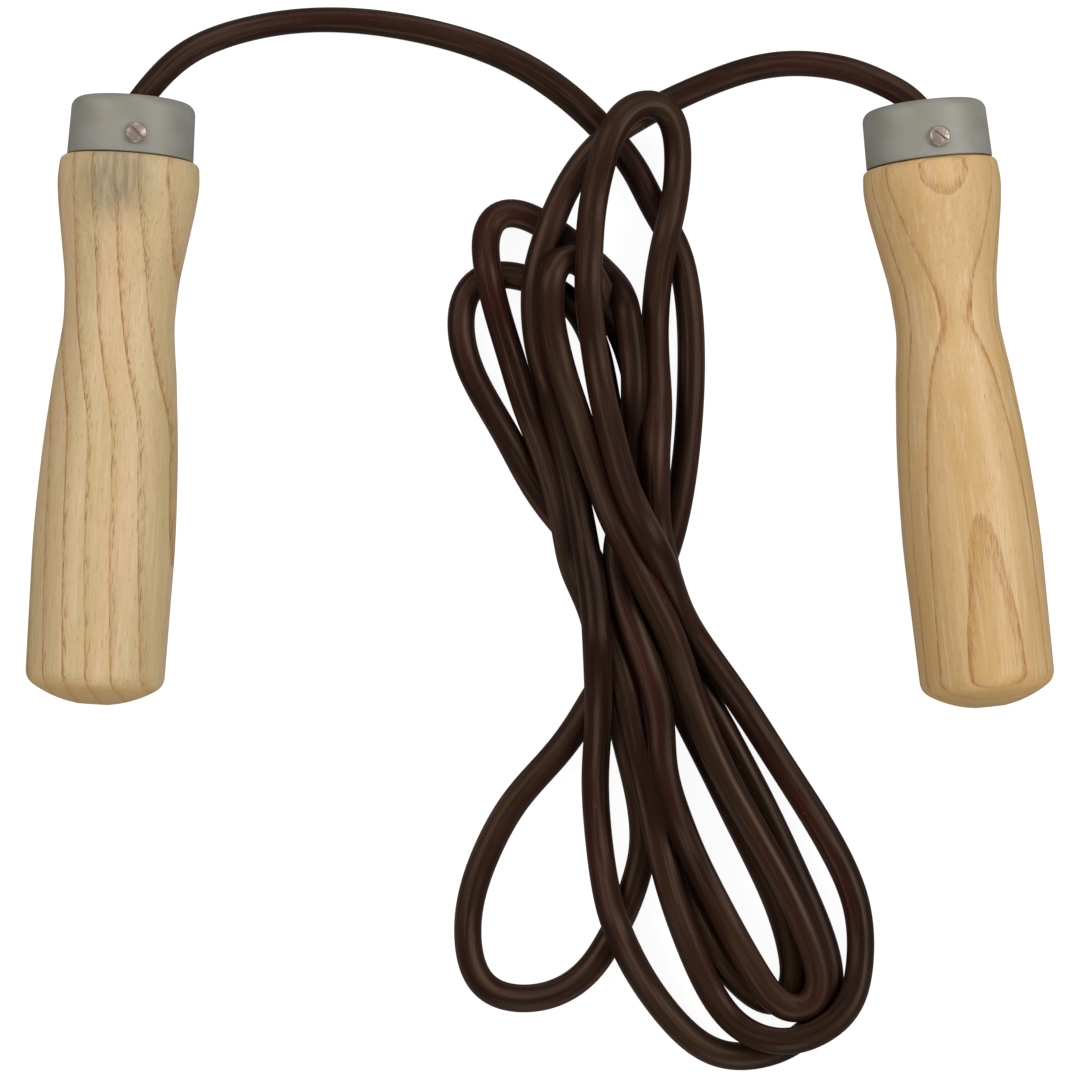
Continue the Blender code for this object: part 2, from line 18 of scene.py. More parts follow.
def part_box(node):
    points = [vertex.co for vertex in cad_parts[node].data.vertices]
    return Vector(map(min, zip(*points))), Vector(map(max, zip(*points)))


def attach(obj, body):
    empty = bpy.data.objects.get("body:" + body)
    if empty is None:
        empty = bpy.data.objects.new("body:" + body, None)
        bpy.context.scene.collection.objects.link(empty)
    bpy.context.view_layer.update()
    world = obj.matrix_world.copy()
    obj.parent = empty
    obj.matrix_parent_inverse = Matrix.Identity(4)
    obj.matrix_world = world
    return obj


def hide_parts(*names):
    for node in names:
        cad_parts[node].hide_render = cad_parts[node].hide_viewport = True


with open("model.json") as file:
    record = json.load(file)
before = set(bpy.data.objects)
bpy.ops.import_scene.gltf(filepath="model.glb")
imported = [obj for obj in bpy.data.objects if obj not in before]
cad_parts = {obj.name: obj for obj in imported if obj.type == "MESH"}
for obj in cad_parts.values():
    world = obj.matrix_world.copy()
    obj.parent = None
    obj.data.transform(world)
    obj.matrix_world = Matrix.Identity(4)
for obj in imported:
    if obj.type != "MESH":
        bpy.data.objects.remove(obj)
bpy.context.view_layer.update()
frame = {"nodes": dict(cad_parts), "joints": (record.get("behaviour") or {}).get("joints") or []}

NODES = frame["nodes"]
JOINTS = {joint["name"]: joint for joint in frame["joints"]}
SIDES = ("left", "right")
GAP = 0.0003  # between pieces that touch on the real rope


# --- The handles' frames ---

BEARING_MIDDLE = 0.0052  # depth of the bearing's middle, where the CAD puts the joint


def handle_frame(side):
    """The matrix from the handle's own frame to the world."""
    joint = JOINTS[f"handle_spin_{side}"]
    outward = Vector(joint["axis"]).normalized()
    down = Vector((0, 0, -1))
    origin = Vector(joint["pos_m"]) + BEARING_MIDDLE * outward
    across = down.cross(outward)
    return Matrix.Translation(origin) @ Matrix((across, down, outward)).transposed().to_4x4()


FRAMES = {side: handle_frame(side) for side in SIDES}


def turned_points(node, side):
    """Each vertex of a turned CAD node as its depth below the cap's top and its distance from the axis."""
    local = FRAMES[side].inverted()
    points = np.array([local @ vertex.co for vertex in NODES[node].data.vertices])
    return -points[:, 2], np.hypot(points[:, 0], points[:, 1])


# --- Camera ---

AIM = Vector((0, -0.0345, 0.0174))
TO_CAMERA = Vector((0, -0.030, 1.0))  # from what it aims at, which is nearly straight below
HALF_VIEW = 0.135  # half of what the view spans at one metre
SENSOR = 36.0


def make_camera():
    data = bpy.data.cameras.new("camera")
    data.sensor_width = SENSOR
    data.lens = SENSOR / (2 * HALF_VIEW)
    camera = bpy.data.objects.new("camera", data)
    camera.location = AIM + TO_CAMERA
    camera.rotation_euler = (-TO_CAMERA).to_track_quat("-Z", "Y").to_euler()
    bpy.context.scene.collection.objects.link(camera)
    bpy.context.scene.camera = camera


# --- The rope's centre line, made as in the CAD ---

ROPE_DIAMETER = 0.0070

# The rope's route seen from above, from the left cap to the right one: x, y and how high the strand starts
# before it settles, which says what it lies over.
ROUTE = (
    # out of the left cap, under the whole bundle
    (-0.0990, 0.0775, 0), (-0.0875, 0.0895, 0), (-0.0555, 0.0985, 0), (-0.0075, 0.0885, 0),
    (0.0215, 0.0650, 0), (0.0290, 0.0505, 0), (0.0355, 0.0385, 0), (0.0385, 0.0115, 0),
    (0.0320, -0.0385, 0),
    # first lower loop, the wide one on the left
    (0.0085, -0.0830, 1), (-0.0085, -0.1030, 1), (-0.0185, -0.1295, 1), (-0.0150, -0.1475, 1),
    (-0.0050, -0.1505, 1), (0.0045, -0.1490, 1), (0.0130, -0.1430, 1), (0.0225, -0.1255, 1),
    (0.0285, -0.1030, 1), (0.0205, -0.0770, 1), (0.0120, -0.0445, 1),
    # second upper loop
    (0.0090, -0.0365, 4), (0.0040, -0.0190, 4), (-0.0130, 0.0320, 6), (-0.0135, 0.0470, 6),
    (-0.0090, 0.0505, 6), (0.0100, 0.0390, 4), (0.0205, 0.0220, 4), (0.0255, -0.0040, 4),
    # fourth lower loop, the narrow one on top
    (0.0210, -0.0470, 4.5), (0.0300, -0.0780, 5), (0.0305, -0.0945, 5.5), (0.0485, -0.1335, 6.5),
    (0.0550, -0.1450, 6.5), (0.0590, -0.1510, 6.5), (0.0650, -0.1535, 6.5), (0.0705, -0.1510, 6.5),
    (0.0710, -0.1440, 6.5), (0.0655, -0.1290, 6.5), (0.0435, -0.0885, 6.5), (0.0290, -0.0495, 7),
    # fourth upper loop, inside the others
    (0.0155, -0.0220, 7), (0.0035, 0.0160, 7), (0.0015, 0.0290, 7), (0.0030, 0.0365, 7),
    (0.0080, 0.0390, 6.5), (0.0135, 0.0355, 5.5), (0.0185, 0.0260, 4), (0.0265, -0.0005, 3),
    (0.0220, -0.0470, 2),
    # fifth lower loop, hidden under the fourth
    (0.0300, -0.1000, 2), (0.0360, -0.1225, 2), (0.0385, -0.1290, 2), (0.0450, -0.1400, 2),
    (0.0545, -0.1495, 2), (0.0600, -0.1525, 2), (0.0645, -0.1490, 2), (0.0645, -0.1425, 2),
    (0.0605, -0.1265, 2), (0.0415, -0.0860, 3.5), (0.0370, -0.0780, 4), (0.0290, -0.0610, 4),
    (0.0160, 0.0090, 3), (0.0135, 0.0220, 3),
    # third upper loop, the one furthest left
    (0.0065, 0.0285, 3), (-0.0130, 0.0340, 3), (-0.0185, 0.0305, 3), (-0.0205, 0.0230, 3),
    (-0.0185, 0.0105, 3), (-0.0025, -0.0160, 3), (0.0130, -0.0440, 3), (0.0240, -0.0865, 3),
    # third lower loop, the one furthest right
    (0.0350, -0.1280, 3), (0.0495, -0.1570, 4), (0.0630, -0.1610, 4.5), (0.0700, -0.1575, 4.5),
    (0.0775, -0.1520, 3), (0.0805, -0.1275, 3), (0.0575, -0.0855, 4), (0.0540, -0.0800, 4.5),
    (0.0330, -0.0500, 6), (0.0305, -0.0430, 7),
    # first upper loop, the tallest one, over the rest
    (0.0210, -0.0225, 8), (0.0120, 0.0355, 8), (0.0165, 0.0645, 8), (0.0210, 0.0735, 8),
    (0.0280, 0.0770, 8), (0.0330, 0.0750, 8), (0.0350, 0.0595, 8), (0.0295, 0.0290, 6.5),
    (0.0280, -0.0260, 5.5), (0.0325, -0.0500, 3),
    # second lower loop, the lowest one
    (0.0420, -0.0745, 2.5), (0.0455, -0.0810, 2.5), (0.0740, -0.1480, 2), (0.0665, -0.1595, 2),
    (0.0545, -0.1645, 2), (0.0425, -0.1635, 2), (0.0210, -0.1365, 4), (0.0140, -0.0985, 5),
    (0.0155, -0.0735, 5.5), (0.0140, -0.0495, 6),
    # up the left side and over to the right cap
    (0.0055, -0.0120, 5.5), (0.0005, 0.0075, 5.5), (-0.0010, 0.0245, 5.5), (0.0110, 0.0615, 5.5),
    (0.0545, 0.0860, 5.5), (0.0775, 0.0845, 5.5), (0.0860, 0.0805, 3), (0.0920, 0.0770, 0),
)
INSIDE_DEPTHS = (0.0217, 0.0150, 0.0090, 0.0026)  # where the rope is on the handle's axis
LEAD_FALL = 0.060  # length over which a lead comes down from its handle to the floor

# How the rope settles: the strands are stacked by the route's third column, then fall and push apart.
ROPE_STEP = 0.0025  # between the points that settle
CURVE_STEPS = 24  # from each point of a route to the next, before they are evened out
HELD_LENGTH = INSIDE_DEPTHS[0] + 3 * ROPE_STEP  # at each end, from in the handle to just out of its cap
CLOSE = ROPE_DIAMETER + 0.0002  # nearest that two strands may come
NEARLY_CLOSE = CLOSE + 0.0002  # strands further apart than this aren't pushed
STACKING = 0.8  # rope diameters of height for each step of the third column
SETTLE_ROUNDS = 260
LOOK_EVERY = 5  # rounds between looks for the strands that are nearly close
FALL = 0.0005  # in each round
FAST_SHARE, SLOW_FALL = 0.7, FALL / 4  # the share of the rounds before the strands fall more slowly
PUSHES = 4  # in each round
SIDEWAYS = 0.15  # share of a push that goes sideways
LONGEST_SHIFT = 0.0003  # sideways, in each push
HOLD = 0.9  # share of its sideways shift that a strand keeps each round
SOFT_PLAN, SOFT_HEIGHT, SOFT_SHIFT = 6, 3, 4  # times that each is softened
TINY = 1e-9


def route_points():
    inside = {
        side: [(FRAMES[side] @ Vector((0, 0, -depth))).to_2d().to_3d() for depth in INSIDE_DEPTHS]
        for side in SIDES
    }
    return np.array([*inside["left"], *ROUTE, *reversed(inside["right"])])


def smooth_curve(points, step):
    """Points every step along the centripetal Catmull-Rom curve through these points, measured in plan."""
    padded = np.vstack([2 * points[0] - points[1], points, 2 * points[-1] - points[-2]])
    pieces = []
    for before, start, end, after in zip(padded, padded[1:], padded[2:], padded[3:]):
        knots = [0.0]
        for a, b in ((before, start), (start, end), (end, after)):
            knots.append(knots[-1] + sqrt(np.linalg.norm(b[:2] - a[:2])))
        t0, t1, t2, t3 = knots
        t = np.linspace(t1, t2, CURVE_STEPS, endpoint=False)[:, None]
        a1 = ((t1 - t) * before + (t - t0) * start) / (t1 - t0)
        a2 = ((t2 - t) * start + (t - t1) * end) / (t2 - t1)
        a3 = ((t3 - t) * end + (t - t2) * after) / (t3 - t2)
        b1 = ((t2 - t) * a1 + (t - t0) * a2) / (t2 - t0)
        b2 = ((t3 - t) * a2 + (t - t1) * a3) / (t3 - t1)
        pieces.append(((t2 - t) * b1 + (t - t1) * b2) / (t2 - t1))
    curve = np.vstack(pieces + [points[-1:]])
    along = np.concatenate([[0], np.cumsum(np.linalg.norm(np.diff(curve[:, :2], axis=0), axis=1))])
    even = np.linspace(0, along[-1], ceil(along[-1] / step) + 1)
    return np.column_stack([np.interp(even, along, column) for column in curve.T])


def softened(values, fixed, times):
    """Each value moved towards the middle of its neighbours, the fixed ones left alone."""
    for _ in range(times):
        moved = values.copy()
        moved[1:-1] = 0.5 * values[1:-1] + 0.25 * (values[:-2] + values[2:])
        values = np.where(fixed, values, moved)
    return values


def lead_heights(along):
    """How high the rope's middle may lie at the least: on the floor, but on a handle's axis at either end."""
    floor = ROPE_DIAMETER / 2
    heights = np.full(len(along), floor)
    for side, distance in (("left", along), ("right", along[-1] - along)):
        share = np.clip((distance - INSIDE_DEPTHS[0]) / LEAD_FALL, 0, 1)
        curve = (1 - share) ** 2 * (1 + 2 * share)
        heights = np.maximum(heights, floor + (FRAMES[side].translation.z - floor) * curve)
    return heights


def pushed_apart(place, height, first, second):
    """How the strands of each pair move until they are CLOSE apart: mostly up and down, a little sideways."""
    across = place[first] - place[second]
    distance = np.linalg.norm(across, axis=1)
    above = height[first] >= height[second]
    needed = np.sqrt(np.maximum(CLOSE**2 - distance**2, 0))
    lack = np.maximum(needed - np.abs(height[first] - height[second]), 0)
    up, down = np.zeros(len(height)), np.zeros(len(height))
    np.maximum.at(up, np.where(above, first, second), lack / 2)
    np.maximum.at(down, np.where(above, second, first), lack / 2)
    push = across * (lack * SIDEWAYS / (distance + TINY))[:, None]
    shift = np.zeros_like(place)
    np.add.at(shift, first, push)
    np.add.at(shift, second, -push)
    return up - down, shift


def settled_rope():
    """The rope's centre line, lying on the floor and on itself.

    The strands start stacked in the order that the route gives, fall a little each round, and are pushed
    apart where they come closer than CLOSE. A strand moves sideways only across its own direction.
    """
    path = smooth_curve(route_points(), ROPE_STEP)
    along = np.arange(len(path)) * ROPE_STEP
    held = np.minimum(along, along[-1] - along) < HELD_LENGTH
    lowest = lead_heights(along)
    plan = softened(path[:, :2], held[:, None], SOFT_PLAN)
    heading = np.gradient(plan, axis=0)
    heading /= np.linalg.norm(heading, axis=1)[:, None]
    place = plan
    height = np.where(held, lowest, lowest.min() + STACKING * ROPE_DIAMETER * path[:, 2])
    apart = int(2 * ROPE_DIAMETER / ROPE_STEP) + 1
    for turn in range(SETTLE_ROUNDS):
        if turn % LOOK_EVERY == 0:
            gaps = np.linalg.norm(place[:, None] - place[None], axis=2)
            first, second = np.nonzero(np.triu(gaps < NEARLY_CLOSE, apart))
        fall = FALL if turn < FAST_SHARE * SETTLE_ROUNDS else SLOW_FALL
        height = np.where(held, lowest, np.maximum(height - fall, lowest))
        for _ in range(PUSHES):
            climb, shift = pushed_apart(place, height, first, second)
            height = np.where(held, lowest, np.maximum(height + climb, lowest))
            shift -= heading * (shift * heading).sum(axis=1)[:, None]
            length = np.linalg.norm(shift, axis=1) + TINY
            shift *= np.minimum(1, LONGEST_SHIFT / length)[:, None]
            place = np.where(held[:, None], place, place + shift)
        height = np.maximum(softened(height, held, SOFT_HEIGHT), lowest)
        place = plan + softened(place - plan, held[:, None], SOFT_SHIFT) * HOLD
    return np.column_stack([place, height])


# --- Mesh helpers ---

def mesh_from(name, points, faces):
    mesh = bpy.data.meshes.new(name)
    mesh.from_pydata([tuple(point) for point in points], [], faces)
    return mesh


def turned(name, outline, steps):
    """A closed outline of (radius, height) points turned all the way round local Z."""
    shape = bmesh.new()
    points = [shape.verts.new((radius, 0, height)) for radius, height in outline]
    edges = [shape.edges.new((point, points[i - 1])) for i, point in enumerate(points)]
    bmesh.ops.spin(
        shape, geom=points + edges, cent=(0, 0, 0), axis=(0, 0, 1), angle=2 * pi, steps=steps,
        use_merge=True,
    )
    bmesh.ops.remove_doubles(shape, verts=shape.verts, dist=1e-6)
    on_axis = [edge for edge in shape.edges if not edge.link_faces]
    bmesh.ops.delete(shape, geom=on_axis, context="EDGES")
    bmesh.ops.recalc_face_normals(shape, faces=shape.faces)
    return finished(shape, name)


def finished(shape, name):
    """The bmesh written to a new mesh and freed."""
    mesh = bpy.data.meshes.new(name)
    shape.to_mesh(mesh)
    shape.free()
    return mesh


def arc(centre, radius, start, end, steps):
    """Points of a circular arc in the (radius, height) plane, from one angle to another, in degrees."""
    angles = [radians(start + (end - start) * i / steps) for i in range(steps + 1)]
    return [(centre[0] + radius * cos(a), centre[1] + radius * sin(a)) for a in angles]


def without(mesh, cutters):
    """The mesh with each cutter mesh taken out of it by an exact Boolean."""
    target = bpy.data.objects.new("target", mesh)
    bpy.context.scene.collection.objects.link(target)
    helpers = [target]
    for cutter in cutters:
        helper = bpy.data.objects.new("cutter", cutter)
        bpy.context.scene.collection.objects.link(helper)
        helpers.append(helper)
        boolean = target.modifiers.new("cut", "BOOLEAN")
        boolean.operation = "DIFFERENCE"
        boolean.object = helper
    graph = bpy.context.evaluated_depsgraph_get()
    result = bpy.data.meshes.new_from_object(target.evaluated_get(graph))
    for helper in helpers:
        bpy.data.objects.remove(helper)
    return result


def store(mesh, name, values):
    """Stores a number or a vector for each vertex, which the materials read."""
    values = np.asarray(values, np.float32)
    kind, field = ("FLOAT", "value") if values.ndim == 1 else ("FLOAT_VECTOR", "vector")
    mesh.attributes.new(name, kind, "POINT").data.foreach_set(field, values.ravel())


def handle_piece(name, mesh, side, surface, node, sharp=35):
    """A piece made in the handle's frame, put in its place, and riding with its handle.

    Edges where the faces turn by more than this many degrees look sharp.
    """
    store(mesh, "rest", [vertex.co for vertex in mesh.vertices])
    mesh.transform(FRAMES[side])
    mesh.materials.clear()
    mesh.materials.append(surface)
    mesh.shade_smooth()
    mesh.set_sharp_from_angle(angle=radians(sharp))
    piece = bpy.data.objects.new(name, mesh)
    bpy.context.scene.collection.objects.link(piece)
    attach(piece, f"handle_{side}")
    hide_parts(node)
    return piece


# --- The rope's tube ---

TUBE_STEP = 0.001
TUBE_SIDES = 24
TUBE_SHARP = 60  # degrees: smooth along the tube, sharp round its ends
SOFT_LINE = 2  # times that the settled line is softened once more
FLOOR_GAP = 0.00005
LEAD_THINNER, TOP_THICKER = 0.88, 1.03  # the rope's thickness at its ends, and where it lies on top
LEAD_THIN_LENGTH = 0.18
THICKER_FROM, THICKER_RISE = 0.008, 0.010  # the height where it starts to thicken, and the rise it takes
SWELLS = ((0.014, 0.0165, 0.0), (0.010, 0.0071, 1.3))  # share, length to a radian, and phase of each
OVAL, OVAL_LENGTH = 0.018, 0.037
FLUTES = 5  # flats along the rope, left by cutting the hide
FLUTE_DEPTH = 0.018
TWIST_LENGTH = 0.055
WANDER, WANDER_LENGTH = 0.7, 0.09
CREASE_RADIUS = 0.010  # a bend as tight as this creases fully


def centre_line():
    """The settled line as evenly spaced fine points, and the distance along it of each."""
    line = settled_rope()
    inside = int(INSIDE_DEPTHS[0] / ROPE_STEP) + 1  # points at each end that lie in a handle
    held = np.zeros(len(line), bool)
    held[:inside] = held[-inside:] = True
    line = softened(line, held[:, None], SOFT_LINE)
    fine = smooth_curve(line, TUBE_STEP)
    along = np.concatenate([[0], np.cumsum(np.linalg.norm(np.diff(fine, axis=0), axis=1))])
    even = np.linspace(0, along[-1], ceil(along[-1] / TUBE_STEP) + 1)
    return np.column_stack([np.interp(even, along, column) for column in fine.T]), even


def parallel_frames(line):
    """Unit tangents and two cross directions that turn as little as they can along the line."""
    tangents = np.gradient(line, axis=0)
    tangents /= np.linalg.norm(tangents, axis=1)[:, None]
    first = np.zeros_like(line)
    first[0] = (0, 0, 1)
    for i in range(1, len(line)):
        carried = first[i - 1] - tangents[i] * (first[i - 1] @ tangents[i])
        first[i] = carried / np.linalg.norm(carried)
    return tangents, first, np.cross(tangents, first)


def eased(value):
    """0 below 0, 1 above 1 and smooth between."""
    share = np.clip(value, 0, 1)
    return share**2 * (3 - 2 * share)


def rope_ridges(along, angles):
    """1 on the edges that the cutting left along the rope, and -1 in the middle of the flats between them."""
    twist = along / TWIST_LENGTH + WANDER * np.sin(along / WANDER_LENGTH)
    return np.cos(FLUTES * angles[None] + twist[:, None])


def rope_radii(line, along, angles):
    """The tube's radius at each point and angle: thinner leads, thicker top strands, shallow flutes."""
    from_end = np.minimum(along, along[-1] - along)
    lead = LEAD_THINNER + (1 - LEAD_THINNER) * eased(from_end / LEAD_THIN_LENGTH)
    top = 1 + (TOP_THICKER - 1) * eased((line[:, 2] - THICKER_FROM) / THICKER_RISE)
    swell = 1 + sum(share * np.sin(along / length + phase) for share, length, phase in SWELLS)
    base = ROPE_DIAMETER / 2 * lead * top * swell
    oval = 1 + OVAL * np.cos(2 * angles[None] - along[:, None] / OVAL_LENGTH)
    return base[:, None] * (1 + FLUTE_DEPTH * rope_ridges(along, angles)) * oval


def tube_faces(count):
    """The faces of a closed tube of this many rings, whose two end points come after the rings."""
    sides = [(j, (j + 1) % TUBE_SIDES) for j in range(TUBE_SIDES)]
    last, ends = (count - 1) * TUBE_SIDES, count * TUBE_SIDES
    faces = []
    for here in range(0, last, TUBE_SIDES):
        there = here + TUBE_SIDES
        faces += [(here + j, here + k, there + k, there + j) for j, k in sides]
    for j, k in sides:
        faces.append((k, j, ends))
        faces.append((last + j, last + k, ends + 1))
    return faces


def rope_mesh(line, along):
    """The tube round the line, with what the leather reads: its place along the rope, creases and ridges."""
    angles = np.linspace(0, 2 * pi, TUBE_SIDES, endpoint=False)
    cosines, sines = np.cos(angles), np.sin(angles)
    tangents, first, second = parallel_frames(line)
    radii = rope_radii(line, along, angles)
    spokes = first[:, None] * cosines[None, :, None] + second[:, None] * sines[None, :, None]
    rings = line[:, None] + spokes * radii[..., None]
    rings[..., 2] = np.maximum(rings[..., 2], FLOOR_GAP)
    points = np.vstack([rings.reshape(-1, 3), line[:1], line[-1:]])
    mesh = mesh_from("rope_leather", points, tube_faces(len(line)))

    # The rope as if it were straight: across, across and along it.
    distances = np.repeat(along[:, None], TUBE_SIDES, 1)
    straight = np.dstack([radii * cosines, radii * sines, distances]).reshape(-1, 3)
    store(mesh, "rest", np.vstack([straight, (0, 0, 0), (0, 0, along[-1])]))
    # Creases show on the inside of a bend.
    bend = np.gradient(tangents, axis=0) / TUBE_STEP * CREASE_RADIUS
    inside = np.clip((spokes * bend[:, None]).sum(axis=2), 0, 1)
    store(mesh, "crease", np.append(inside, (0, 0)))
    ridges = np.clip(rope_ridges(along, angles), 0, 1) ** 3
    store(mesh, "ridge", np.append(ridges, (0, 0)))
    return mesh


def make_rope(surface):
    line, along = centre_line()
    mesh = rope_mesh(line, along)
    mesh.materials.append(surface)
    mesh.shade_smooth()
    mesh.set_sharp_from_angle(angle=radians(TUBE_SHARP))
    rope = bpy.data.objects.new("rope_leather", mesh)
    bpy.context.scene.collection.objects.link(rope)
    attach(rope, "rope_body")
    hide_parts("rope")


# --- The grips ---

BORE = 0.0100  # what lies nearer than this to the axis is bore, except on the butt
BUTT_DEPTH = 0.1460
SAME_DEPTH = 0.00005  # two depths nearer than this are one
GRIP_STEPS = 96
GRIP_STEP = 0.0006
BUTT_ROUND = 0.0024
EDGE_POINTS = 4  # on each side of the butt's edge that its rounding takes the place of
TENON_TOP, TENON_CHAMFER = 0.0022, 0.0018
LEDGE = 0.0024  # how far in the ledge under the bearing reaches
CRIMP_ROOM = 0.006  # under the crimp
DRILL_POINT = 0.004  # the cone at the bore's bottom
CAP_WALL = 0.0012
SCREW_DEPTH = 0.0099
PILOT_RADIUS, PILOT_SIDES = 0.0013, 24
PILOT_START = 0.0115


def screw_turns(side):
    """How far round each screw stands from straight up, read from where the CAD puts its middle."""
    turns = {}
    for place in ("front", "back"):
        low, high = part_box(f"screw_{place}_{side}")
        middle = FRAMES[side].inverted() @ ((low + high) / 2)
        turns[place] = np.arctan2(middle.x, -middle.y)
    return turns


def drill(side, turn, inner, outer):
    """A cutter for one screw's hole."""
    place = Matrix.Translation((0, -(inner + outer) / 2, -SCREW_DEPTH)) @ Matrix.Rotation(pi / 2, 4, "X")
    shape = bmesh.new()
    bmesh.ops.create_cone(
        shape, cap_ends=True, segments=PILOT_SIDES, radius1=PILOT_RADIUS, radius2=PILOT_RADIUS,
        depth=outer - inner, matrix=Matrix.Rotation(turn, 4, "Z") @ place,
    )
    return finished(shape, f"drill_{side}")


def rounded_corner(before, corner, after, size, steps=6):
    """A corner of an outline eased by a curve that starts and ends this far from it."""
    start = corner + (before - corner) * min(1, size / np.linalg.norm(before - corner))
    end = corner + (after - corner) * min(1, size / np.linalg.norm(after - corner))
    shares = np.linspace(0, 1, steps)[:, None]
    return (1 - shares) ** 2 * start + 2 * shares * (1 - shares) * corner + shares**2 * end


def grip_skin(side):
    """The grip's visible outline, as (depth, radius) points on one smooth curve through the CAD's."""
    depths, radii = turned_points(f"grip_{side}", side)
    cap_depths, _ = turned_points(f"cap_{side}", side)
    rings = {}
    for depth, radius in zip(depths, radii):
        key = round(depth, 5)  # to a hundredth of a millimetre
        rings[key] = max(rings.get(key, 0), radius)
    shoulder = cap_depths.max() + GAP
    found = sorted(ring for ring in rings.items() if ring[0] > shoulder - SAME_DEPTH)
    return np.array([ring for ring in found if ring[1] > BORE or ring[0] > BUTT_DEPTH])


def grip_mesh(side):
    skin = grip_skin(side)
    edge = int(np.abs(skin[:, 0] - BUTT_DEPTH).argmin())
    flat = np.column_stack([skin, np.zeros(len(skin))])
    shaft = smooth_curve(flat[: edge + 1], GRIP_STEP)[:, :2]
    dome = smooth_curve(flat[edge:], GRIP_STEP)[:, :2]
    corner = rounded_corner(shaft[-1 - EDGE_POINTS], shaft[-1], dome[EDGE_POINTS], BUTT_ROUND)
    visible = np.vstack([shaft[:-EDGE_POINTS], corner, dome[EDGE_POINTS:]])

    _, cap_radii = turned_points(f"cap_{side}", side)
    bearing_depths, bearing_radii = turned_points(f"bearing_outer_ring_{side}", side)
    crimp_depths, _ = turned_points(f"rope_crimp_{side}", side)
    pocket, ledge = bearing_radii.max() + GAP, bearing_depths.max() + GAP
    relief, relief_end = pocket - LEDGE, crimp_depths.max() + CRIMP_ROOM
    tenon = cap_radii.max() - CAP_WALL - 2 * GAP
    outline = [(pocket, -TENON_TOP), (tenon - TENON_CHAMFER, -TENON_TOP)]
    outline += [(tenon, -TENON_TOP - TENON_CHAMFER), (tenon, -visible[0][0])]
    outline += [(radius, -depth) for depth, radius in visible]
    if visible[-1][1] > TINY:
        outline.append((0, -visible[-1][0]))
    outline += [(0, -relief_end - DRILL_POINT), (relief, -relief_end)]
    outline += [(relief, -ledge), (pocket, -ledge)]
    whole = turned(f"grip_wood_{side}", outline, GRIP_STEPS)
    drills = [drill(side, turn, PILOT_START, cap_radii.max()) for turn in screw_turns(side).values()]
    return without(whole, drills)


# --- The caps and their screws ---

CAP_STEPS = 96
CAP_EDGE_ROUND = 0.0028
CAP_PLATE = 0.0014
CAP_HOLE_RADIUS = 0.0062
CAP_LIP = 0.0003
CAP_LEAN = 2  # degrees, where the top's rounding runs into the wall
CAP_DRILL = 0.003  # how far the drills reach in and out from the wall


def cap_mesh(side):
    depths, radii = turned_points(f"cap_{side}", side)
    height, radius = depths.max(), radii.max()
    top_radius = radius - GAP
    outline = arc((CAP_HOLE_RADIUS + CAP_PLATE, -CAP_PLATE), CAP_PLATE, 180, 90, 8)
    outline += arc((top_radius - CAP_EDGE_ROUND, -CAP_EDGE_ROUND), CAP_EDGE_ROUND, 90, CAP_LEAN, 16)
    lip = radius - CAP_LIP, -height + CAP_LIP
    outline += arc(lip, CAP_LIP, 0, -90, 4)
    inner, inner_top = radius - CAP_WALL, top_radius - CAP_WALL
    inside_round = CAP_EDGE_ROUND - CAP_WALL
    outline.append((inner, -height))
    inside_corner = (inner_top - inside_round, -CAP_PLATE - inside_round)
    outline += arc(inside_corner, inside_round, CAP_LEAN, 90, 8)
    whole = turned(f"cap_shell_{side}", outline, CAP_STEPS)
    reach = radius - CAP_DRILL, radius + CAP_DRILL
    drills = [drill(side, turn, *reach) for turn in screw_turns(side).values()]
    return without(whole, drills)


SCREW_STEPS = 48
HEAD_RADIUS, HEAD_HEIGHT, RIM_HEIGHT = 0.0026, 0.0011, 0.0004
HEAD_EDGE, HEAD_STEPS = 0.0001, 15
SHANK_RADIUS, SCREW_LENGTH = 0.0010, 0.0040
TIP_RADIUS, TIP_LENGTH = 0.0006, 0.0004
SLOT_WIDTH, SLOT_DEPTH, SLOT_TURN = 0.0007, 0.0005, radians(-40)
SCREW_BEVEL, BEVEL_ANGLE = 0.00006, 40


def slot_cutter():
    shape = bmesh.new()
    size = Matrix.Diagonal((3 * HEAD_RADIUS, SLOT_WIDTH, 2 * SLOT_DEPTH, 1))
    top = Matrix.Translation((0, 0, SCREW_LENGTH + HEAD_HEIGHT))
    bmesh.ops.create_cube(shape, size=1, matrix=top @ Matrix.Rotation(SLOT_TURN, 4, "Z") @ size)
    return finished(shape, "slot")


def screw_mesh(side, turn, seat):
    """A slotted pan-head screw, its head on the cap's wall."""
    rim, crown = SCREW_LENGTH + RIM_HEIGHT, HEAD_HEIGHT - RIM_HEIGHT
    outline = [(0, 0), (TIP_RADIUS, 0), (SHANK_RADIUS, TIP_LENGTH), (SHANK_RADIUS, SCREW_LENGTH)]
    outline += [(HEAD_RADIUS - HEAD_EDGE, SCREW_LENGTH), (HEAD_RADIUS, SCREW_LENGTH + HEAD_EDGE)]
    angles = [radians(90 * i / HEAD_STEPS) for i in range(HEAD_STEPS + 1)]
    outline += [(HEAD_RADIUS * cos(angle), rim + crown * sin(angle)) for angle in angles]
    screw = without(turned(f"screw_{side}", outline, SCREW_STEPS), [slot_cutter()])
    tip = seat + GAP - SCREW_LENGTH
    stand = Matrix.Translation((0, -tip, -SCREW_DEPTH)) @ Matrix.Rotation(pi / 2, 4, "X")
    screw.transform(Matrix.Rotation(turn, 4, "Z") @ stand)
    return screw


def soften_edges(screw):
    bevel = screw.modifiers.new("edges", "BEVEL")
    bevel.width = SCREW_BEVEL
    bevel.segments = 2
    bevel.limit_method = "ANGLE"
    bevel.angle_limit = radians(BEVEL_ANGLE)


# --- Materials ---

